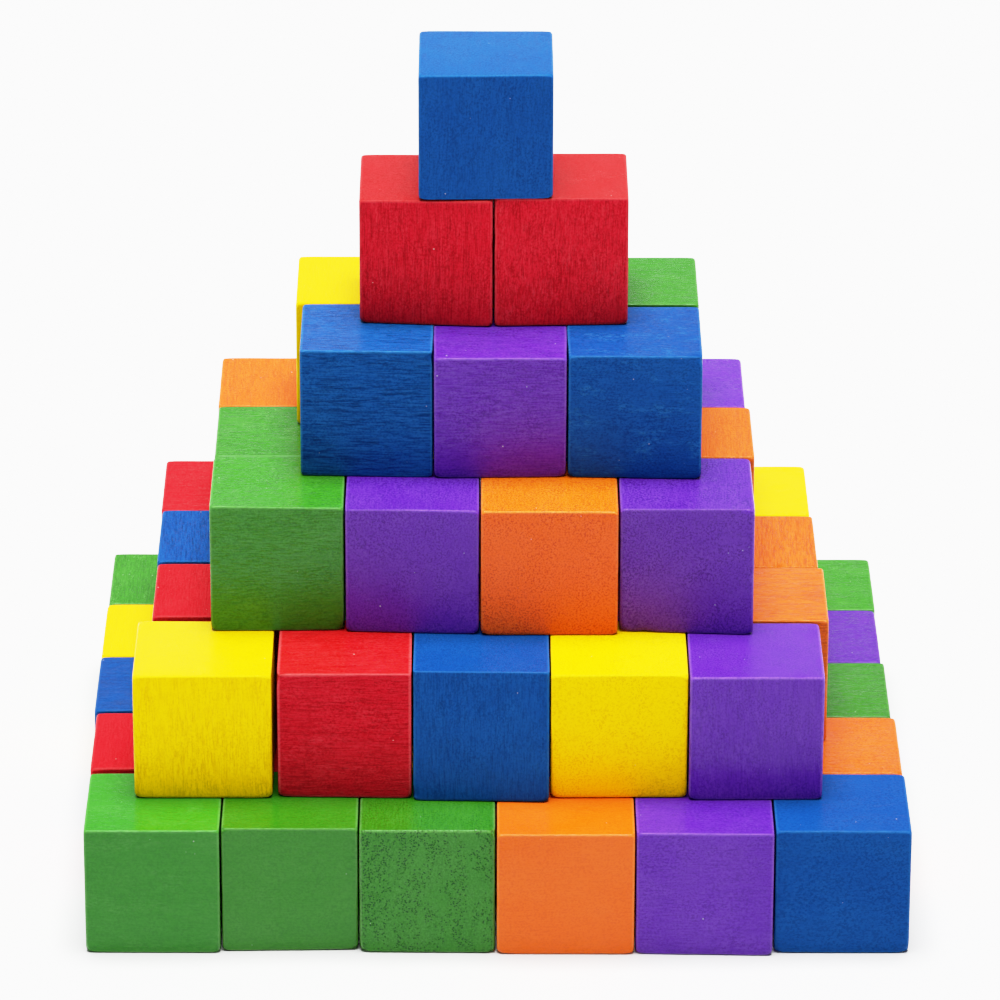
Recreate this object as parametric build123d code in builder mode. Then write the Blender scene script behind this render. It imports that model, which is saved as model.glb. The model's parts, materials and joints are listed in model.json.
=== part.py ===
from build123d import *
import os

os.makedirs("parts", exist_ok=True)

# Stepped tower of loose painted wooden cubes. Six layers, each resting flat on
# the one below: 6 x 5, 5 x 4, 4 x 3, 3 x 2, 2 x 1 and one cube on top.
# Millimetres, +Z up, origin on the ground under the centre of the bottom layer,
# the front of the tower faces -Y.

# ---- driving dimensions ----
CUBE = 25.4         # nominal one-inch cube, and so the height of every layer
DEPTH = 25.1        # front-to-back size of the cut blocks
CORE_WIDTH = 25.2   # side-to-side size of the blocks inside the tower
EDGE_R = 0.9        # rounded-over edges of a tumbled block
CENTRE_X = -0.225   # middle of the bottom layer in the layout below
CENTRE_Y = 64.0

# ---- layout ----
# Blocks that can be reached from outside, one per sub-part:
# name: (layer, left side x, right side x, front face y).
# Widths differ by a few tenths and rows are a little out of line, as in a tower
# that was set up by hand from sawn blocks.
OUTER_BLOCKS = {
    # bottom layer, front row
    "layer1_front1_green": (1, -77.10, -51.80, 0.0),
    "layer1_front2_green": (1, -51.50, -26.00, 0.9),
    "layer1_front3_green": (1, -25.75, -0.35, 0.2),
    "layer1_front4_orange": (1, -0.05, 25.70, -1.1),
    "layer1_front5_purple": (1, 25.95, 51.65, -0.9),
    "layer1_front6_blue": (1, 51.95, 77.30, 0.0),
    # bottom layer, left side, front to back
    "layer1_left2_red": (1, -77.20, -52.00, 27.1),
    "layer1_left3_blue": (1, -77.75, -52.55, 53.3),
    "layer1_left4_yellow": (1, -77.70, -52.50, 78.7),
    # bottom layer, right side, front to back
    "layer1_right2_orange": (1, 51.75, 76.95, 25.4),
    "layer1_right3_green": (1, 50.95, 76.15, 50.8),
    "layer1_right4_purple": (1, 50.40, 75.60, 76.1),
    # bottom layer, back row, left to right
    "layer1_back1_green": (1, -77.50, -52.30, 104.0),
    "layer1_back2_orange": (1, -51.95, -26.75, 102.8),
    "layer1_back3_blue": (1, -26.45, -1.25, 103.2),
    "layer1_back4_yellow": (1, -0.95, 24.25, 102.6),
    "layer1_back5_red": (1, 24.60, 49.80, 103.1),
    "layer1_back6_green": (1, 50.60, 75.80, 101.5),
    # second layer, front row
    "layer2_front1_yellow": (2, -68.15, -42.20, 13.9),
    "layer2_front2_red": (2, -41.20, -16.05, 14.5),
    "layer2_front3_blue": (2, -15.75, 9.80, 14.3),
    "layer2_front4_yellow": (2, 10.05, 35.70, 14.3),
    "layer2_front5_purple": (2, 35.95, 61.15, 13.2),
    # second layer, sides
    "layer2_left2_red": (2, -65.60, -40.40, 41.0),
    "layer2_left3_blue": (2, -65.80, -40.60, 67.2),
    "layer2_right2_orange": (2, 37.90, 63.10, 39.3),
    "layer2_right3_orange": (2, 37.00, 62.20, 64.7),
    # second layer, back row
    "layer2_back1_red": (2, -66.05, -40.85, 92.5),
    "layer2_back2_green": (2, -40.50, -15.30, 91.2),
    "layer2_back3_purple": (2, -14.95, 10.25, 91.6),
    "layer2_back4_blue": (2, 10.60, 35.80, 91.0),
    "layer2_back5_yellow": (2, 36.50, 61.70, 90.0),
    # third layer, front row
    "layer3_front1_green": (3, -54.15, -28.90, 34.1),
    "layer3_front2_purple": (3, -28.60, -3.40, 33.2),
    "layer3_front3_orange": (3, -3.10, 22.80, 32.4),
    "layer3_front4_purple": (3, 23.10, 48.40, 33.6),
    # third layer, sides
    "layer3_left2_green": (3, -54.05, -28.85, 59.4),
    "layer3_right2_orange": (3, 24.10, 49.30, 59.2),
    # third layer, back row
    "layer3_back1_orange": (3, -54.20, -29.00, 84.7),
    "layer3_back2_red": (3, -28.60, -3.40, 84.9),
    "layer3_back3_yellow": (3, -3.05, 22.15, 84.5),
    "layer3_back4_purple": (3, 23.20, 48.40, 84.6),
    # fourth layer
    "layer4_front1_blue": (4, -37.30, -12.25, 49.3),
    "layer4_front2_purple": (4, -12.00, 13.10, 47.7),
    "layer4_front3_blue": (4, 13.40, 38.70, 47.9),
    "layer4_back1_yellow": (4, -38.65, -13.45, 74.7),
    "layer4_back2_orange": (4, -12.00, 13.20, 73.9),
    "layer4_back3_green": (4, 13.55, 38.75, 74.3),
    # fifth layer and the cube on top
    "layer5_left_red": (5, -26.20, -0.90, 63.2),
    "layer5_right_red": (5, -0.55, 24.85, 64.0),
    "layer6_top_blue": (6, -14.95, 10.50, 62.5),
}

# Blocks enclosed on all sides, one sub-part for each colour in a layer:
# name: (layer, [(column, row), ...]). Rows and columns count from the front
# left block of the enclosed grid of that layer.
CORE_BLOCKS = {
    "layer1_core_red": (1, [(0, 0), (2, 1), (1, 2)]),
    "layer1_core_yellow": (1, [(1, 0), (3, 1), (2, 2)]),
    "layer1_core_purple": (1, [(2, 0), (0, 1), (3, 2)]),
    "layer1_core_blue": (1, [(3, 0), (1, 1), (0, 2)]),
    "layer2_core_green": (2, [(0, 0), (1, 1)]),
    "layer2_core_orange": (2, [(1, 0), (2, 1)]),
    "layer2_core_purple": (2, [(2, 0), (0, 1)]),
    "layer3_core_yellow": (3, [(0, 0)]),
    "layer3_core_blue": (3, [(1, 0)]),
}
# front left corner of the enclosed grid of each layer
CORE_CORNER = {1: (-51.70, 26.35), 2: (-40.00, 40.00), 3: (-28.40, 59.00)}
CORE_PITCH_X = CORE_WIDTH + 0.25
CORE_PITCH_Y = DEPTH + 0.25


def layer_floor(layer):
    return (layer - 1) * CUBE


# ---- blocks on the outside of the tower ----
for name, (layer, left, right, front) in OUTER_BLOCKS.items():
    middle = ((left + right) / 2 - CENTRE_X, front + DEPTH / 2 - CENTRE_Y)
    with BuildPart() as block:
        with BuildSketch(Plane.XY.offset(layer_floor(layer))) as footprint:
            with Locations(middle):
                Rectangle(right - left, DEPTH)
        extrude(amount=CUBE)
        fillet(block.edges(), EDGE_R)
    block.part.label = name
    export_step(block.part, f"parts/{name}.step")

# ---- blocks enclosed inside each layer ----
for name, (layer, cells) in CORE_BLOCKS.items():
    corner_x, corner_y = CORE_CORNER[layer]
    middles = [
        (
            corner_x + column * CORE_PITCH_X + CORE_WIDTH / 2 - CENTRE_X,
            corner_y + row * CORE_PITCH_Y + DEPTH / 2 - CENTRE_Y,
        )
        for column, row in cells
    ]
    with BuildPart() as core:
        with BuildSketch(Plane.XY.offset(layer_floor(layer))) as footprints:
            with Locations(*middles):
                Rectangle(CORE_WIDTH, DEPTH)
        extrude(amount=CUBE)
        fillet(core.edges(), EDGE_R)
    core.part.label = name
    export_step(core.part, f"parts/{name}.step")
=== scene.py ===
import json
import math

import bpy
import numpy as np
from mathutils import Matrix


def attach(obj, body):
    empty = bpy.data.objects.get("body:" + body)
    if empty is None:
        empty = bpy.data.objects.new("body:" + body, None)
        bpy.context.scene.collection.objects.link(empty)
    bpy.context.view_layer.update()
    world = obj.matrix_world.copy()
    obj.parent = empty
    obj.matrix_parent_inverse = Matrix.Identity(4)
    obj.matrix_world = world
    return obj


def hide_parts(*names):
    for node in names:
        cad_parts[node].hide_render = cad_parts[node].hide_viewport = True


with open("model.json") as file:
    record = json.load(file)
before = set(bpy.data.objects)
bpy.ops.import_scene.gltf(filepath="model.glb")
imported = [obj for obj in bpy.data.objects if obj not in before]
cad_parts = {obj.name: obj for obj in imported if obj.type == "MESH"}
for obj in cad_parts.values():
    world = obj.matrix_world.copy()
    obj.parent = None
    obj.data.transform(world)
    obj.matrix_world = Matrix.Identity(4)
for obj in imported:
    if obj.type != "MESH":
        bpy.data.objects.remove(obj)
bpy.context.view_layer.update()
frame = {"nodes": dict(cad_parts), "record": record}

MM = 0.001

# ---------------------------------------------------------------- camera
# Placed from the object's own box: millimetres in the row frame.
scene = bpy.context.scene
cam_data = bpy.data.cameras.new("camera")
cam = bpy.data.objects.new("camera", cam_data)
scene.collection.objects.link(cam)
scene.camera = cam
cam_data.sensor_width = 36.0
cam_data.lens = 244.94
cam_data.clip_start = 0.05
cam_data.clip_end = 50.0
pitch, yaw, roll = math.radians(23.1297), math.radians(-0.2229), math.radians(0.1479)
cy_, sy_ = math.cos(yaw), math.sin(yaw)
cp_, sp_ = math.cos(pitch), math.sin(pitch)
right0 = np.array([cy_, sy_, 0.0])
up0 = np.array([-sy_ * sp_, cy_ * sp_, cp_])
forward = np.array([-sy_ * cp_, cy_ * cp_, -sp_])
right = math.cos(roll) * right0 + math.sin(roll) * up0
up = math.cos(roll) * up0 - math.sin(roll) * right0
place = np.array([-4.0756 + 0.225, -1140.363 - 64.0, 579.578]) * MM
m = Matrix.Identity(4)
for i in range(3):
    m[i][0], m[i][1], m[i][2], m[i][3] = right[i], up[i], -forward[i], place[i]
cam.matrix_world = m

# ---------------------------------------------------------------- noise
_LATTICE = {}


def noise(p, seed):
    """Smooth value noise in -1..1 at points p (n, 3), the same every run."""
    if seed not in _LATTICE:
        _LATTICE[seed] = np.random.default_rng(seed).uniform(-1, 1, (16, 16, 16))
    g = _LATTICE[seed]
    i = np.floor(p).astype(int)
    f = p - i
    f = f * f * (3 - 2 * f)
    out = 0.0
    for dx in (0, 1):
        for dy in (0, 1):
            for dz in (0, 1):
                w = (
                    (f[:, 0] if dx else 1 - f[:, 0])
                    * (f[:, 1] if dy else 1 - f[:, 1])
                    * (f[:, 2] if dz else 1 - f[:, 2])
                )
                out = out + w * g[(i[:, 0] + dx) % 16, (i[:, 1] + dy) % 16, (i[:, 2] + dz) % 16]
    return out


# ---------------------------------------------------------------- the blocks' looks
# node: (grain axis, streaks, dashes, speckle, pores, chalk, edge wear and painted edge highlight, radius
# mm, tone)
# grain axis: the way the fibres run. On the two faces across it the end grain
# shows as speckle and pores, on the other four as streaks and dashes.
LOOKS = {
    "layer6_top_blue": ("z", 0.25, 0.30, 0.50, 0.00, 0.10, 0.30, 0.95, 0.00),
    "layer5_left_red": ("z", 0.74, 0.52, 0.60, 0.05, 0.10, 0.45, 0.90, 0.00),
    "layer5_right_red": ("z", 0.70, 0.56, 0.60, 0.05, 0.35, 0.45, 0.85, 0.00),
    "layer4_front1_blue": ("x", 0.72, 0.78, 0.50, 0.00, 0.15, 0.55, 0.80, 0.00),
    "layer4_front2_purple": ("x", 0.35, 0.50, 0.45, 0.00, 0.10, 0.40, 1.00, 0.00),
    "layer4_front3_blue": ("x", 0.20, 0.30, 0.60, 0.00, 0.85, 0.50, 0.95, 0.00),
    "layer4_back1_yellow": ("y", 0.30, 0.20, 0.20, 0.00, 0.05, 0.30, 0.90, 0.00),
    "layer4_back3_green": ("x", 0.35, 0.30, 0.30, 0.00, 0.35, 0.30, 0.90, 0.03),
    "layer3_front1_green": ("x", 0.25, 0.40, 0.50, 0.00, 0.10, 0.40, 0.90, 0.00),
    "layer3_front2_purple": ("y", 0.25, 0.25, 0.60, 0.10, 0.10, 0.35, 1.00, 0.00),
    "layer3_front3_orange": ("y", 0.25, 0.20, 0.66, 0.10, 0.10, 0.35, 1.10, 0.00),
    "layer3_front4_purple": ("y", 0.25, 0.25, 0.76, 0.15, 0.15, 0.40, 1.10, 0.00),
    "layer3_left2_green": ("x", 0.45, 0.30, 0.30, 0.00, 0.30, 0.40, 0.90, 0.02),
    "layer3_back1_orange": ("y", 0.50, 0.30, 0.30, 0.00, 0.10, 0.30, 0.80, 0.00),
    "layer3_right2_orange": ("y", 0.40, 0.35, 0.40, 0.00, 0.10, 0.30, 0.90, 0.00),
    "layer3_back4_purple": ("x", 0.30, 0.30, 0.50, 0.00, 0.20, 0.30, 0.90, 0.00),
    "layer2_front1_yellow": ("z", 0.55, 0.70, 0.50, 0.00, 0.00, 0.25, 0.90, 0.00),
    "layer2_front2_red": ("x", 0.40, 0.65, 0.60, 0.00, 0.35, 0.95, 0.90, 0.00),
    "layer2_front3_blue": ("z", 0.38, 0.32, 0.40, 0.00, 0.15, 0.50, 0.90, 0.00),
    "layer2_front4_yellow": ("y", 0.20, 0.20, 0.90, 0.00, 0.00, 0.25, 1.05, 0.00),
    "layer2_front5_purple": ("z", 0.25, 0.35, 0.45, 0.00, 0.15, 0.50, 0.95, 0.00),
    "layer2_left2_red": ("y", 0.35, 0.35, 0.40, 0.00, 0.15, 0.40, 0.90, 0.00),
    "layer2_left3_blue": ("y", 0.70, 0.50, 0.40, 0.00, 0.15, 0.40, 0.80, 0.00),
    "layer2_back1_red": ("x", 0.35, 0.30, 0.40, 0.00, 0.20, 0.35, 0.95, 0.00),
    "layer2_right2_orange": ("x", 0.60, 1.00, 0.30, 0.00, 0.10, 0.35, 0.85, 0.00),
    "layer2_right3_orange": ("y", 0.90, 0.80, 0.30, 0.00, 0.10, 0.30, 0.80, 0.00),
    "layer2_back5_yellow": ("x", 0.25, 0.20, 0.20, 0.00, 0.20, 0.30, 0.85, 0.00),
    "layer1_front1_green": ("x", 0.18, 0.12, 0.22, 0.02, 0.25, 0.40, 0.95, 0.00),
    "layer1_front2_green": ("x", 0.15, 0.10, 0.30, 0.04, 0.10, 0.45, 1.10, 0.00),
    "layer1_front3_green": ("y", 0.30, 0.20, 0.45, 1.40, 0.10, 0.50, 1.10, 0.00),
    "layer1_front4_orange": ("x", 0.15, 0.15, 0.15, 0.02, 0.05, 0.40, 0.85, 0.00),
    "layer1_front5_purple": ("x", 0.15, 0.32, 0.38, 0.05, 0.10, 0.40, 0.95, 0.00),
    "layer1_front6_blue": ("x", 0.10, 0.12, 0.50, 0.00, 0.15, 0.45, 0.95, 0.00),
    "layer1_left2_red": ("y", 0.30, 0.25, 0.35, 0.00, 0.05, 0.40, 1.15, 0.00),
    "layer1_left3_blue": ("x", 0.35, 0.40, 0.40, 0.00, 0.15, 0.40, 1.00, 0.00),
    "layer1_left4_yellow": ("y", 0.30, 0.20, 0.20, 0.00, 0.00, 0.25, 0.90, 0.00),
    "layer1_back1_green": ("y", 0.60, 0.30, 0.35, 0.00, 0.35, 0.35, 0.85, 0.02),
    "layer1_right2_orange": ("x", 0.40, 0.35, 0.40, 0.00, 0.05, 0.30, 1.00, 0.00),
    "layer1_right3_green": ("x", 0.50, 0.45, 0.35, 0.00, 0.15, 0.35, 0.90, 0.00),
    "layer1_right4_purple": ("x", 0.30, 0.50, 0.45, 0.00, 0.15, 0.30, 0.90, 0.00),
    "layer1_back6_green": ("x", 0.40, 0.30, 0.35, 0.00, 0.35, 0.35, 0.95, 0.02),
}

# painted light and shade: how much lighter or darker a block's sides and top are painted than its colour's
# mean, lighter high up near the light and darker low down and under the layer above: sides, top
PAINTED_LIGHT_AND_SHADE = {
    "layer6_top_blue": (0.08, 0.22),
    "layer5_left_red": (0.12, -0.02),
    "layer5_right_red": (0.12, -0.02),
    "layer4_front1_blue": (0.04, 0.20),
    "layer4_front2_purple": (0.07, 0.02),
    "layer4_front3_blue": (0.04, -0.02),
    "layer4_back1_yellow": (0.04, -0.12),
    "layer3_front1_green": (0.06, 0.14),
    "layer3_front2_purple": (0.03, -0.06),
    "layer3_front3_orange": (0.02, 0.08),
    "layer3_front4_purple": (0.01, -0.08),
    "layer3_right2_orange": (0.0, -0.10),
    "layer3_back4_purple": (0.0, 0.12),
    "layer2_front1_yellow": (0.05, -0.06),
    "layer2_front2_red": (-0.02, 0.03),
    "layer2_front3_blue": (-0.02, -0.11),
    "layer2_front4_yellow": (0.06, -0.10),
    "layer2_front5_purple": (0.07, 0.02),
    "layer2_left2_red": (0.0, -0.12),
    "layer2_left3_blue": (0.0, -0.07),
    "layer2_back1_red": (0.0, -0.07),
    "layer2_right2_orange": (0.0, -0.07),
    "layer2_right3_orange": (0.0, -0.08),
    "layer2_back5_yellow": (0.0, -0.15),
    "layer1_front1_green": (0.01, 0.10),
    "layer1_front2_green": (-0.03, -0.14),
    "layer1_front3_green": (0.01, -0.19),
    "layer1_front4_orange": (0.02, -0.10),
    "layer1_front5_purple": (0.02, -0.10),
    "layer1_front6_blue": (-0.02, -0.13),
    "layer1_left2_red": (0.0, -0.14),
    "layer1_left3_blue": (0.0, -0.20),
    "layer1_left4_yellow": (0.0, -0.17),
    "layer1_right2_orange": (0.0, -0.14),
    "layer1_right3_green": (0.0, -0.16),
    "layer1_right4_purple": (0.0, -0.18),
}


def look_of(node, k):
    if node in LOOKS:
        return LOOKS[node]
    r = np.random.default_rng(abs(sum(ord(c) * (i + 7) for i, c in enumerate(node))) + 31 * k)
    return (
        "xyz"[int(r.integers(3))],
        float(r.uniform(0.25, 0.85)),
        float(r.uniform(0.2, 0.9)),
        float(r.uniform(0.3, 0.9)),
        float(r.choice([0.0, 0.0, 0.0, 0.05, 0.6])),
        float(r.uniform(0.0, 0.35)),
        float(r.uniform(0.3, 0.55)),
        float(r.uniform(0.8, 1.1)),
        float(r.uniform(-0.02, 0.02)),
    )


# Small differences between coats of one colour, and a painted colour shift between
# the lit top and the sides, as a turn of the colour wheel: sides, top
HUE = {
    "layer6_top_blue": (0.0, -0.0080),
    "layer5_left_red": (-0.0018, 0.0012),
    "layer5_right_red": (-0.0018, 0.0012),
    "layer2_front2_red": (-0.0018, 0.0014),
    "layer3_front3_orange": (-0.0045, 0.0030),
    "layer1_front4_orange": (-0.0010, -0.0010),
    "layer1_front1_green": (0.0040, 0.0040),
    "layer4_front1_blue": (-0.0030, -0.0030),
}


# Small knocks on edges and corners: node: [(place in the block -1..1, radius mm, depth mm)]
DINGS = {
    "layer5_right_red": [((0.55, -1.0, 0.30), 1.3, 0.30), ((-1.0, -1.0, 0.35), 0.9, 0.25)],
    "layer5_left_red": [((1.0, -1.0, 0.25), 1.0, 0.28), ((-0.98, -1.0, -0.6), 0.8, 0.2)],
    "layer4_front1_blue": [((-0.4, -1.0, 1.0), 0.9, 0.22), ((1.0, -1.0, 0.9), 1.1, 0.35)],
    "layer4_front3_blue": [((0.95, -1.0, 0.96), 1.2, 0.35), ((-0.2, -1.0, -1.0), 0.9, 0.22)],
    "layer3_front4_purple": [((-0.6, -1.0, -1.0), 1.3, 0.35), ((0.9, -1.0, 1.0), 0.9, 0.3)],
    "layer3_front1_green": [((1.0, -1.0, -0.95), 1.2, 0.4)],
    "layer2_front2_red": [((-1.0, -1.0, 0.95), 1.3, 0.45), ((0.2, -1.0, 1.0), 0.8, 0.18)],
    "layer2_front3_blue": [((0.3, -1.0, 1.0), 0.8, 0.2), ((-1.0, -1.0, -0.9), 1.1, 0.35)],
    "layer2_front5_purple": [((0.6, -1.0, 1.0), 0.9, 0.2), ((-1.0, -1.0, 0.6), 0.8, 0.2)],
    "layer1_front3_green": [((1.0, -1.0, 0.97), 1.2, 0.4), ((-1.0, -1.0, -0.95), 1.1, 0.35)],
    "layer1_front6_blue": [((0.2, -1.0, 1.0), 0.8, 0.16), ((0.97, -1.0, -0.97), 1.1, 0.35)],
    "layer2_right3_orange": [((-0.3, -1.0, 1.0), 1.2, 0.35), ((0.4, -1.0, 1.0), 1.0, 0.3)],
}

# share of a block's corner radius that its plain edges have
EDGE_SHARE = 0.42
# distances of the lattice lines from an edge, mm: close together over the round
EDGE_STEPS = [0.0, 0.09, 0.19, 0.31, 0.45, 0.62, 0.85, 1.2, 1.8]
INNER = 15


def lines(h):
    """Lattice positions from -h to h mm, closer near both ends."""
    e = np.array(EDGE_STEPS)
    inner = np.linspace(-(h - e[-1]), h - e[-1], INNER + 1)
    return np.concatenate([-(h - e), inner[1:-1], (h - e)[::-1]])


def cube_lattice(hx, hy, hz):
    """Points and quads of a box's surface lattice, shared along the edges, facing out."""
    L = [lines(h) for h in (hx, hy, hz)]
    n = len(L[0])
    index, points = {}, []

    def vid(i, j, k):
        key = (i, j, k)
        if key not in index:
            index[key] = len(points)
            points.append((L[0][i], L[1][j], L[2][k]))
        return index[key]

    quads = []
    for a in range(n - 1):
        for b in range(n - 1):
            for axis in range(3):
                for end in (0, n - 1):
                    c = []
                    for da, db in ((0, 0), (1, 0), (1, 1), (0, 1)):
                        t = [0, 0, 0]
                        t[axis] = end
                        t[(axis + 1) % 3] = a + da
                        t[(axis + 2) % 3] = b + db
                        c.append(vid(*t))
                    quads.append(c if end else c[::-1])
    return np.array(points), np.array(quads)


AXIS_TURN = {
    "x": np.eye(3),
    "y": np.array([[0, 1, 0], [-1, 0, 0], [0, 0, 1]], float),
    "z": np.array([[0, 0, 1], [0, 1, 0], [-1, 0, 0]], float),
}

# How far the left and right side of a block bow out towards a close neighbour, mm
SWELL = {
    "layer5_left_red": (0.0, 0.17),
    "layer5_right_red": (0.17, 0.0),
    "layer4_front1_blue": (0.0, 0.12),
    "layer4_front2_purple": (0.12, 0.14),
    "layer4_front3_blue": (0.14, 0.0),
}

# Blocks that are a little out of square: how far the corners of the front face
# stand back (y) and up (z) from the block's even shape, mm:
# lower left, lower right, upper left, upper right
SKEW = {
    "layer6_top_blue": ((0.4, 0), (1.4, 0), (0, -0.35), (0.2, -0.15)),
    "layer5_left_red": ((0.9, 0), (-1.0, 0), (0, -0.10), (0, -0.20)),
    "layer5_right_red": ((-1.6, 0), (-0.6, 0), (0, 0.0), (0, 0.15)),
    "layer4_front1_blue": ((0.2, 0), (-0.5, 0), (0, 0.35), (0, 0.15)),
    "layer4_front2_purple": ((0.6, 0), (1.2, 0), (0, -0.60), (0, -0.55)),
    "layer4_front3_blue": ((0.9, 0), (0.0, 0), (0, -0.15), (0, -0.20)),
    "layer3_front1_green": ((0.0, 0), (0.3, 0), (0, 0.35), (0, 0.0)),
    "layer3_front2_purple": ((0.6, 0), (-0.6, 0), (0, 0.25), (0, -0.20)),
    "layer3_front3_orange": ((-0.3, 0), (0.0, 0), (0, 0.0), (0, 0.0)),
    "layer3_front4_purple": ((0.4, 0), (-1.2, 0), (0, 0.05), (0, 0.15)),
    "layer2_front1_yellow": ((0.0, 0), (0.0, 0), (0, -0.20), (0, 0.0)),
    "layer2_front2_red": ((0.0, 0), (-0.6, 0), (0, 0.0), (0, 0.35)),
    "layer2_front3_blue": ((-1.3, 0), (-2.2, 0), (1.5, 0.35), (1.1, 0.25)),
    "layer2_front4_yellow": ((-0.3, 0), (0.0, 0), (0, 0.0), (0, 0.0)),
    "layer2_front5_purple": ((0.0, 0), (0.4, 0), (0, 0.0), (0, 0.0)),
    "layer1_front1_green": ((0.0, 0), (-0.2, 0), (0, 0.0), (0, 0.0)),
    "layer1_front2_green": ((-0.3, 0), (0.3, 0), (0, 0.10), (0, 0.10)),
    "layer1_front3_green": ((0.0, 0), (-0.4, 0), (0, 0.0), (0, 0.0)),
    "layer1_front4_orange": ((0.6, 0), (0.5, 0), (0, -0.25), (0, -0.20)),
    "layer1_front5_purple": ((0.5, 0), (-0.3, 0), (0, 0.0), (0, -0.15)),
    "layer1_front6_blue": ((0.0, 0), (0.0, 0), (0, 0.10), (0, 0.0)),
}

# upper left corners that nothing slides over, and how far along the edge they reach
PROUD = {"layer4_front1_blue": 1.6, "layer3_front1_green": 0.62}


def block_points(lo, hi, node, k, number):
    """One worn cube between lo and hi (mm): its points, quads, and the fields of its texture and of its
    painted light and shade.
    """
    axis, streak, dash, speckle, pore, chalk, wear_and_painted_light, radius, tone_and_painted_light = look_of(node, k)
    h = (hi - lo) / 2
    mid = (hi + lo) / 2
    p, quads = cube_lattice(*h)
    seed = 11 + number * 5
    # radius of the rounded edges, different on every edge and along it
    where = p + mid * 0.37
    r = radius * EDGE_SHARE * (1 + 0.30 * noise(where / 13.0, seed) + 0.16 * noise(where / 3.6, seed + 1))
    # corners are worn rounder than the edges, and the lower edges more than the upper
    corner = np.clip(1 - np.max(h - np.abs(p), axis=1) / 2.6, 0, 1)
    r = r * (1 + 1.5 * corner**2) * np.where(p[:, 2] < 0, 1.30, 0.78)
    inner = np.clip(p, -(h - r[:, None]), h - r[:, None])
    d = p - inner
    length = np.linalg.norm(d, axis=1)
    unit = d / np.maximum(length, 1e-9)[:, None]
    q = inner + unit * r[:, None]
    # the rounding leaves a face's own plane alone
    # sanding leaves the faces very slightly hollow and rippled, always inwards
    dip = 0.045 * (0.5 + 0.5 * noise(where / 8.0, seed + 2)) + 0.018 * (
        0.5 + 0.5 * noise(where / 2.7, seed + 3)
    )
    edge = np.clip(1 - np.sort(h - np.abs(p), axis=1)[:, 1] / 1.5, 0, 1)
    q = q - unit * (dip * (0.35 + 0.65 * edge))[:, None]
    for (dx, dy, dz), size, depth in DINGS.get(node, []):
        at = np.array([dx, dy, dz]) * h
        far = np.linalg.norm(q - at, axis=1)
        pull = depth * np.exp(-((far / size) ** 2) * 1.6)
        q = q - unit * pull[:, None]
    if node in SWELL:
        # the sawn sides bow out a little behind the front, so the joint is shut there
        left, right = SWELL[node]
        back = np.clip((q[:, 1] / h[1] + 0.72) / 0.5, 0, 1) * np.clip((0.985 - q[:, 1] / h[1]) / 0.06, 0, 1)
        side = np.clip((np.abs(q[:, 0]) - h[0] + 1.2) / 1.2, 0, 1)
        q[:, 0] += np.where(q[:, 0] < 0, -left, right) * back * side
    if node in SKEW:
        u = ((q[:, 0] / h[0] + 1) / 2)[:, None]
        w = ((q[:, 2] / h[2] + 1) / 2)[:, None]
        front = np.clip((1 - q[:, 1] / h[1]) / 2, 0, 1)
        ll, lr, ul, ur = (np.array(c) for c in SKEW[node])
        shift = (ll * (1 - u) + lr * u) * (1 - w) + (ul * (1 - u) + ur * u) * w
        q[:, 1] += shift[:, 0] * front
        q[:, 2] += shift[:, 1] * front**2
        # nothing stands above the block's own height where another slides off over it
        proud = 0.35 * np.clip(1 - u[:, 0] / PROUD[node], 0, 1) * front**6 if node in PROUD else 0
        q[:, 2] = np.minimum(q[:, 2], h[2] - 0.01 + proud)
    rng = np.random.default_rng(seed + 4)
    turned = q @ AXIS_TURN[axis].T
    # the saw was never quite in line with the fibres
    lean = rng.uniform(-0.05, 0.05, 2)
    turned[:, 1] += turned[:, 0] * lean[0]
    turned[:, 2] += turned[:, 0] * lean[1]
    one = np.ones(len(q))
    # pores are open on the end grain, and painted over on the other faces
    along = "xyz".index(axis)
    end_grain = np.clip(1 - (h[along] - np.abs(p[:, along])) / 0.5, 0.06, 1)
    on_top = np.clip(1 - (h[2] - p[:, 2]) / 0.4, 0, 1)
    # painted light and shade: the sides and the top painted lighter or darker, lighter high up and darker
    # low down and under the layer above
    sides, top = PAINTED_LIGHT_AND_SHADE.get(node, (0.0, 0.0))
    tone_and_painted_light = tone_and_painted_light + sides * (1 - on_top) + top * on_top
    # the hue turn: differences between coats, and on the top a painted colour shift against the sides
    sides, top = HUE.get(node, (0.0, 0.0))
    hue = sides * (1 - on_top) + top * on_top
    fields = (
        turned + rng.uniform(-400, 400, 3),
        np.stack([one * streak, one * dash, one * speckle], 1),
        np.stack([edge, one * wear_and_painted_light, one * tone_and_painted_light], 1),
        np.stack([end_grain * pore, one * chalk, hue], 1),
    )
    return q + mid, quads, fields


def components(mesh):
    """Bounding boxes (mm) of a mesh's separate solids, in a fixed order."""
    n = len(mesh.vertices)
    co = np.empty(n * 3)
    mesh.vertices.foreach_get("co", co)
    co = co.reshape(-1, 3) / MM
    # solids in one node stand apart, so equal plan positions mean one solid
    edges = np.empty(len(mesh.edges) * 2, dtype=int)
    mesh.edges.foreach_get("vertices", edges)
    edges = edges.reshape(-1, 2)
    label = np.arange(n)
    while True:
        low = np.minimum(label[edges[:, 0]], label[edges[:, 1]])
        new = label.copy()
        np.minimum.at(new, edges[:, 0], low)
        np.minimum.at(new, edges[:, 1], low)
        new = new[new]
        if (new == label).all():
            break
        label = new
    found = []
    for value in np.unique(label):
        part = co[label == value]
        found.append((part.min(0), part.max(0)))
    # pieces of one solid that the mesh keeps apart (seams) are merged
    merged = []
    for lo, hi in sorted(found, key=lambda b: tuple(np.round(b[0], 2))):
        for b in merged:
            if (lo < b[1] + 0.02).all() and (hi > b[0] - 0.02).all():
                b[0][:] = np.minimum(b[0], lo)
                b[1][:] = np.maximum(b[1], hi)
                break
        else:
            merged.append([lo.copy(), hi.copy()])
    return sorted(merged, key=lambda b: (round(b[0][1], 1), round(b[0][0], 1)))
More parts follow.
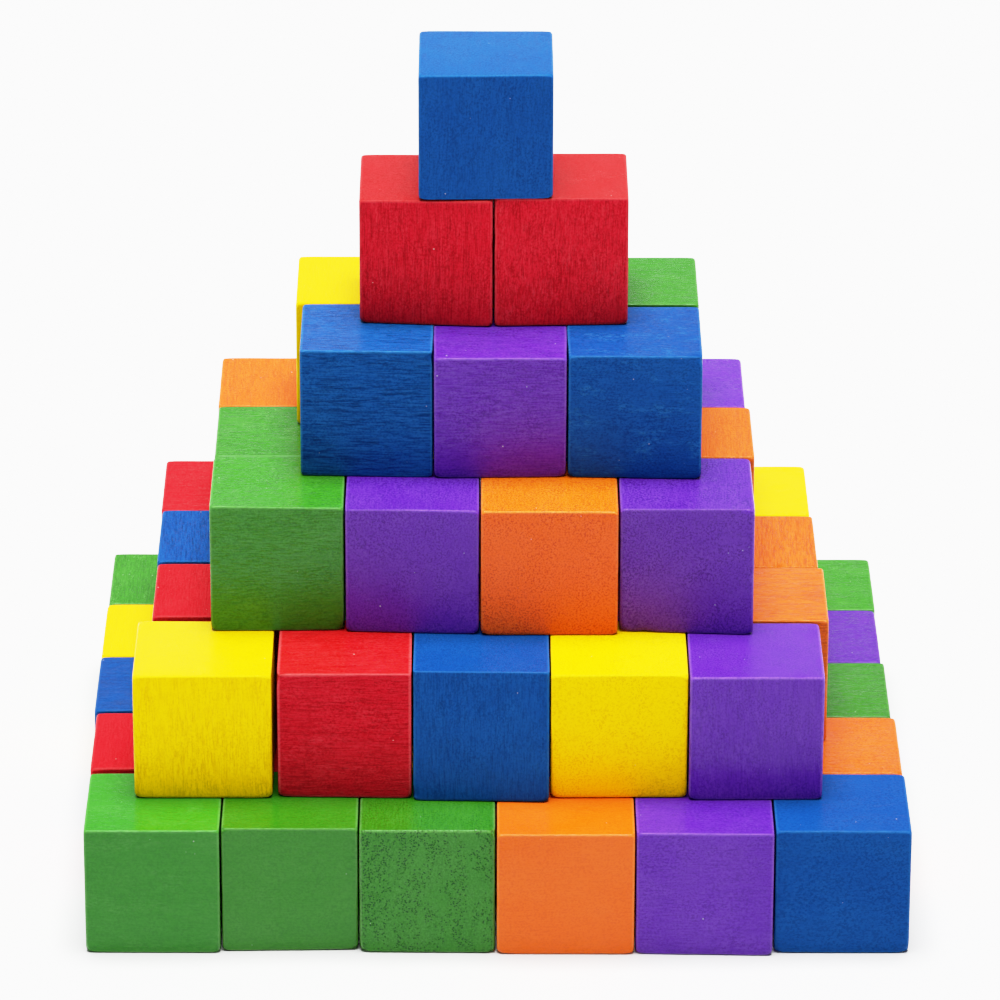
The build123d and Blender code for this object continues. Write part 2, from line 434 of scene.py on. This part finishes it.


# ---------------------------------------------------------------- paint
# base: the coat; deep: where it has run into fibres and pores; light: where it is
# thin or rubbed, and the painted highlights on edges and raised grain; sheen: colour of the soft reflection
PAINT = {
    "paint_blue": dict(base=(0.0052, 0.0486, 0.2330), deep=(0.001, 0.011, 0.058), light=(0.026, 0.15, 0.39), sheen=(0.80, 1.00, 1.00), level=0.032, grain_depth=0.62, pebble_depth=0.56),
    "paint_red": dict(base=(0.4770, 0.0068, 0.0118), deep=(0.140, 0.001, 0.002), light=(0.62, 0.060, 0.066), sheen=(1.00, 1.00, 1.00), level=0.026, grain_depth=0.46, pebble_depth=0.55),
    "paint_yellow": dict(base=(0.9340, 0.5400, 0.0003), deep=(0.420, 0.200, 0.001), light=(0.96, 0.62, 0.01), sheen=(1.00, 0.90, 0.02), level=0.06, grain_depth=0.30, pebble_depth=0.38),
    "paint_green": dict(base=(0.0230, 0.1560, 0.0050), deep=(0.005, 0.047, 0.002), light=(0.136, 0.31, 0.085), sheen=(0.78, 1.00, 0.94), level=0.24, grain_depth=0.46, pebble_depth=0.60),
    "paint_purple": dict(base=(0.0790, 0.0120, 0.2980), deep=(0.019, 0.003, 0.080), light=(0.25, 0.11, 0.47), sheen=(1.00, 0.83, 1.00), level=0.18, grain_depth=0.40, pebble_depth=0.66),
    "paint_orange": dict(base=(0.7400, 0.0980, 0.0020), deep=(0.265, 0.022, 0.001), light=(0.82, 0.26, 0.050), sheen=(1.00, 1.00, 0.95), level=0.17, grain_depth=0.36, pebble_depth=0.84),
}


def make_paint(name, base, deep, light, sheen, level, grain_depth, pebble_depth):
    mat = bpy.data.materials.new(name)
    mat.use_nodes = True
    nt = mat.node_tree
    nt.nodes.clear()
    N, L = nt.nodes.new, nt.links.new

    def math_node(op, a, b=None, clamp=False):
        n = N("ShaderNodeMath")
        n.operation = op
        n.use_clamp = clamp
        for s, v in ((0, a), (1, b)):
            if v is None:
                continue
            if isinstance(v, (int, float)):
                n.inputs[s].default_value = v
            else:
                L(v, n.inputs[s])
        return n.outputs[0]

    def times(*values):
        out = values[0]
        for v in values[1:]:
            out = math_node("MULTIPLY", out, v)
        return out

    def span(v, lo, hi, to_lo=0.0, to_hi=1.0):
        n = N("ShaderNodeMapRange")
        n.clamp = True
        n.interpolation_type = "SMOOTHSTEP"
        L(v, n.inputs["Value"])
        n.inputs["From Min"].default_value = lo
        n.inputs["From Max"].default_value = hi
        n.inputs["To Min"].default_value = to_lo
        n.inputs["To Max"].default_value = to_hi
        return n.outputs["Result"]

    def mix(fac, a, b):
        n = N("ShaderNodeMix")
        n.data_type = "RGBA"
        n.clamp_factor = True
        if isinstance(fac, (int, float)):
            n.inputs[0].default_value = fac
        else:
            L(fac, n.inputs[0])
        for s, v in ((6, a), (7, b)):
            if isinstance(v, tuple):
                n.inputs[s].default_value = (*v, 1.0)
            else:
                L(v, n.inputs[s])
        return n.outputs[2]

    def fields(name):
        n = N("ShaderNodeAttribute")
        n.attribute_name = name
        return n.outputs["Vector"]

    def parts(vector):
        n = N("ShaderNodeSeparateXYZ")
        L(vector, n.inputs[0])
        return n.outputs

    grain = fields("grain")
    streak_amt, dash_amt, speckle_amt = parts(fields("look"))
    edge_mask, edge_wear_and_highlight_amt, tone_and_painted_light = parts(fields("wear_and_painted_light"))
    pore_amt, chalk_amt, hue = parts(fields("skin"))

    def scaled(x, y, z):
        n = N("ShaderNodeVectorMath")
        n.operation = "MULTIPLY"
        L(grain, n.inputs[0])
        n.inputs[1].default_value = (x, y, z)
        return n.outputs[0]

    def tex_noise(vec, scale, detail=3.0, rough=0.5, distort=0.0):
        n = N("ShaderNodeTexNoise")
        n.inputs["Scale"].default_value = scale
        n.inputs["Detail"].default_value = detail
        n.inputs["Roughness"].default_value = rough
        n.inputs["Distortion"].default_value = distort
        L(vec, n.inputs["Vector"])
        return n.outputs["Fac"]

    # fibres: long along the grain, fine across it
    fibre = tex_noise(scaled(0.06, 1.0, 1.0), 3.3, 3.0, 0.60)
    fibre_where = tex_noise(scaled(0.05, 0.30, 0.30), 1.0, 2.0, 0.5)
    # raised grain: short ripples along the fibres
    ripple = tex_noise(scaled(0.10, 1.0, 1.0), 3.4, 2.0, 0.58, 0.25)
    # the pebbled skin of brushed paint, and end grain
    pebble = tex_noise(scaled(0.8, 1.0, 1.0), 2.7, 2.0, 0.62)
    pebble_where = tex_noise(scaled(0.5, 0.5, 0.5), 0.35, 2.0, 0.5)
    # growth rings, very faint
    warp = parts(scaled(0.02, 1.0, 1.0))
    bend = tex_noise(scaled(0.02, 0.05, 0.05), 1.0, 2.0)
    ring_at = N("ShaderNodeCombineXYZ")
    L(warp[0], ring_at.inputs[0])
    L(math_node("ADD", warp[1], times(bend, 9.0)), ring_at.inputs[1])
    L(math_node("ADD", warp[2], times(bend, 5.0)), ring_at.inputs[2])
    rings = N("ShaderNodeTexWave")
    rings.wave_type = "RINGS"
    rings.rings_direction = "X"
    rings.wave_profile = "SAW"
    rings.inputs["Scale"].default_value = 0.16
    rings.inputs["Distortion"].default_value = 1.2
    rings.inputs["Detail"].default_value = 2.0
    L(ring_at.outputs[0], rings.inputs["Vector"])
    ring = span(rings.outputs["Fac"], 0.55, 1.0)
    # rubbed, chalky patches
    rub = tex_noise(scaled(0.35, 0.8, 0.8), 0.30, 4.0, 0.62, 0.6)
    rub_fine = tex_noise(scaled(0.35, 1.0, 1.0), 2.6, 3.0, 0.7)
    chalk = times(span(rub, 0.49, 0.66), span(rub_fine, 0.46, 0.60), chalk_amt)
    # open pores: dots on the end grain, dashes along the fibres, in drifts
    cells = N("ShaderNodeTexVoronoi")
    cells.feature = "F1"
    cells.inputs["Scale"].default_value = 2.2
    cells.inputs["Randomness"].default_value = 1.0
    L(scaled(0.18, 1.0, 1.0), cells.inputs["Vector"])
    drift = tex_noise(scaled(0.10, 1.0, 0.38), 0.36, 3.0, 0.62, 0.4)
    pore = times(span(cells.outputs["Distance"], 0.41, 0.28), span(drift, 0.40, 0.53, 0.0, 1.0), span(rub_fine, 0.34, 0.48), pore_amt)
    # brushed-on paint is a little thicker here and thinner there
    cloud = tex_noise(scaled(0.5, 0.6, 0.6), 0.14, 3.0, 0.55)
    # dust and nicks in the paint
    dots = N("ShaderNodeTexVoronoi")
    dots.feature = "F1"
    dots.inputs["Scale"].default_value = 0.26
    dots.inputs["Randomness"].default_value = 1.0
    L(scaled(1.0, 1.0, 1.0), dots.inputs["Vector"])
    speck = times(span(dots.outputs["Distance"], 0.042, 0.024), span(rub_fine, 0.48, 0.56))

    dash = times(span(ripple, 0.53, 0.61), span(fibre_where, 0.34, 0.56, 0.45, 1.0), dash_amt)
    # painted highlight: light glints along the raised grain, mixed in with the light paint
    painted_glint = times(span(ripple, 0.46, 0.38), dash_amt)
    grit = math_node("ADD", times(speckle_amt, span(pebble_where, 0.35, 0.62, 0.55, 1.0)), 0.10)

    colour = mix(span(cloud, 0.36, 0.66, 0.0, 0.05), base, light)
    colour = mix(times(ring, streak_amt, 0.10), colour, deep)
    colour = mix(times(span(fibre, 0.52, 0.61), streak_amt, grain_depth), colour, deep)
    colour = mix(times(span(fibre, 0.47, 0.38), streak_amt, 0.12), colour, light)
    colour = mix(times(dash, grain_depth), colour, deep)
    # painted highlight along the raised grain
    colour = mix(times(painted_glint, 0.11), colour, light)
    colour = mix(times(span(pebble, 0.51, 0.60), grit, pebble_depth), colour, deep)
    colour = mix(times(span(pebble, 0.48, 0.38), grit, 0.13), colour, light)
    colour = mix(times(pore, 0.85), colour, deep)
    colour = mix(times(chalk, 0.46), colour, light)
    # edges: thinner paint, rubbed lighter, and a painted highlight along them
    rim_wear_and_highlight = times(span(math_node("ADD", edge_mask, times(edge_wear_and_highlight_amt, 0.12)), 0.64, 0.95), span(rub_fine, 0.30, 0.60, 0.35, 1.0), edge_wear_and_highlight_amt)
    colour = mix(times(rim_wear_and_highlight, 0.95), colour, light)
    colour = mix(times(speck, 0.70), colour, (0.56, 0.56, 0.53))
    # the value carries the block's tone and the painted light and shade on its sides and top; the hue
    # carries the hue turn
    tone_and_painted_light_node = N("ShaderNodeHueSaturation")
    L(colour, tone_and_painted_light_node.inputs["Color"])
    L(math_node("ADD", tone_and_painted_light, 1.0), tone_and_painted_light_node.inputs["Value"])
    L(math_node("ADD", hue, 0.5), tone_and_painted_light_node.inputs["Hue"])
    colour = tone_and_painted_light_node.outputs["Color"]

    # roughness: satin paint, duller where it is rubbed and in the dashes
    rough = math_node("ADD", span(pebble, 0.3, 0.7, 0.11, 0.19), times(chalk, 0.32))
    rough = math_node("ADD", rough, times(dash, 0.14), True)

    height = times(fibre, streak_amt, 1.0)
    height = math_node("SUBTRACT", height, times(dash, 0.75))
    height = math_node("SUBTRACT", height, times(pore, 1.0))
    height = math_node("ADD", height, times(pebble, grit, 1.0))
    height = math_node("ADD", height, times(speck, 0.5))
    bump = N("ShaderNodeBump")
    bump.inputs["Strength"].default_value = 0.75
    bump.inputs["Distance"].default_value = 0.00015
    L(height, bump.inputs["Height"])

    bsdf = N("ShaderNodeBsdfPrincipled")
    L(colour, bsdf.inputs["Base Color"])
    L(rough, bsdf.inputs["Roughness"])
    L(bump.outputs["Normal"], bsdf.inputs["Normal"])
    bsdf.inputs["IOR"].default_value = 1.50
    bsdf.inputs["Specular IOR Level"].default_value = level
    bsdf.inputs["Specular Tint"].default_value = (*sheen, 1.0)
    out = N("ShaderNodeOutputMaterial")
    L(bsdf.outputs[0], out.inputs["Surface"])
    return mat


paints = {name: make_paint(name, **p) for name, p in PAINT.items()}
slot_of = {s["node"]: s["material_slot"] for s in frame["record"]["subparts"]}
body_of = {n: b for b, ns in frame["record"]["behaviour"]["bodies"].items() for n in ns}

# ---------------------------------------------------------------- the blocks
count = 0
for node in sorted(frame["nodes"]):
    solids = components(frame["nodes"][node].data)
    points, quads, fields, start = [], [], [], 0
    for k, (lo, hi) in enumerate(solids):
        q, f, block_fields = block_points(lo, hi, node, k, count)
        count += 1
        points.append(q * MM)
        quads.append(f + start)
        fields.append(block_fields)
        start += len(q)
    points, quads = np.concatenate(points), np.concatenate(quads)
    mesh = bpy.data.meshes.new("wood_" + node)
    mesh.vertices.add(len(points))
    mesh.vertices.foreach_set("co", points.astype(np.float32).ravel())
    mesh.loops.add(len(quads) * 4)
    mesh.loops.foreach_set("vertex_index", quads.astype(np.int32).ravel())
    mesh.polygons.add(len(quads))
    mesh.polygons.foreach_set("loop_start", np.arange(0, len(quads) * 4, 4, dtype=np.int32))
    mesh.polygons.foreach_set("use_smooth", np.ones(len(quads), dtype=bool))
    mesh.update(calc_edges=True)
    for i, name in enumerate(("grain", "look", "wear_and_painted_light", "skin")):
        a = mesh.attributes.new(name, "FLOAT_VECTOR", "POINT")
        a.data.foreach_set("vector", np.concatenate([f[i] for f in fields]).astype(np.float32).ravel())
    mesh.validate()
    mesh.materials.append(paints[slot_of[node]])
    piece = bpy.data.objects.new("wood_" + node, mesh)
    scene.collection.objects.link(piece)
    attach(piece, body_of[node])
    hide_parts(node)

# ---------------------------------------------------------------- floor and light
BACKDROP, DIM = 0.45, 0.16
bpy.ops.mesh.primitive_plane_add(size=16.0, location=(0, 3.0, -0.00002))
floor = bpy.context.object
floor.name = "floor"
fm = bpy.data.materials.new("floor_pale")
fm.use_nodes = True
fb = fm.node_tree.nodes["Principled BSDF"]
fb.inputs["Base Color"].default_value = (0.65, 0.65, 0.65, 1)
fb.inputs["Roughness"].default_value = 0.85
fb.inputs["Specular IOR Level"].default_value = 0.1
floor.data.materials.append(fm)

world = bpy.data.worlds.new("studio")
scene.world = world
world.use_nodes = True
nt = world.node_tree
bg = nt.nodes["Background"]
bg.inputs["Color"].default_value = (1.0, 1.0, 1.0, 1)


def sky_node(kind, **settings):
    n = nt.nodes.new(kind)
    for key, value in settings.items():
        setattr(n, key, value)
    return n


def sky_span(value, low, high, to_low=0.0, to_high=1.0):
    n = sky_node("ShaderNodeMapRange", interpolation_type="SMOOTHSTEP")
    nt.links.new(value, n.inputs["Value"])
    for key, v in zip(("From Min", "From Max", "To Min", "To Max"), (low, high, to_low, to_high)):
        n.inputs[key].default_value = v
    return n.outputs["Result"]


def sky_math(op, a, b):
    n = sky_node("ShaderNodeMath", operation=op)
    for i, v in enumerate((a, b)):
        if isinstance(v, float):
            n.inputs[i].default_value = v
        else:
            nt.links.new(v, n.inputs[i])
    return n.outputs[0]


# the studio: white where the floor ends, a pale backdrop behind, dim elsewhere
way = sky_node("ShaderNodeSeparateXYZ")
nt.links.new(sky_node("ShaderNodeTexCoord").outputs["Generated"], way.inputs[0])
horizon = sky_span(way.outputs["Z"], 0.085, 0.035, 0.0, 2.35)
backdrop = sky_math("MULTIPLY", sky_span(way.outputs["Y"], 0.20, 0.55), sky_span(way.outputs["Z"], 0.80, 0.55, 0.0, BACKDROP))
glow = sky_math("MAXIMUM", sky_math("MAXIMUM", horizon, backdrop), DIM)
nt.links.new(glow, bg.inputs["Strength"])


def soft_sky(name, strength, spread, mirrored):
    """Even light from a wide round patch of ceiling, the same all over the floor."""
    d = bpy.data.lights.new(name, "SUN")
    d.energy = strength
    d.angle = math.radians(spread)
    o = bpy.data.objects.new(name, d)
    o.visible_glossy = mirrored
    scene.collection.objects.link(o)


# seen from above, only a part of it is mirrored in the paint, as through a diffuser
soft_sky("ceiling", 6.0, 34.0, False)
soft_sky("ceiling_sheen", 4.2, 34.0, True)

scene.view_settings.view_transform = "Standard"
scene.view_settings.look = "None"
scene.view_settings.exposure = 0.0
scene.view_settings.gamma = 1.0
# print-like tone: deep blacks, and a long shoulder that holds the lit tops
scene.view_settings.use_curve_mapping = True
tone_curve = scene.view_settings.curve_mapping
tone_curve.use_clip = True
tone_curve.clip_min_x, tone_curve.clip_max_x = 0.0, 5.0
tone_curve.clip_min_y, tone_curve.clip_max_y = 0.0, 1.0
combined = tone_curve.curves[3]
TONE = [(0.0, 0.0), (0.02, 0.015), (0.05, 0.047), (0.25, 0.25), (0.47, 0.47), (0.60, 0.59), (0.75, 0.68), (0.95, 0.765), (1.10, 0.81), (1.36, 0.86), (1.60, 0.893), (1.85, 0.925), (2.10, 0.953), (2.40, 0.976), (2.80, 0.99), (3.40, 1.0), (5.0, 1.0)]
while len(combined.points) > 2:
    combined.points.remove(combined.points[1])
combined.points[0].location = TONE[0]
combined.points[1].location = TONE[-1]
for at in TONE[1:-1]:
    combined.points.new(*at)
for point in combined.points:
    point.handle_type = "AUTO_CLAMPED"
tone_curve.update()
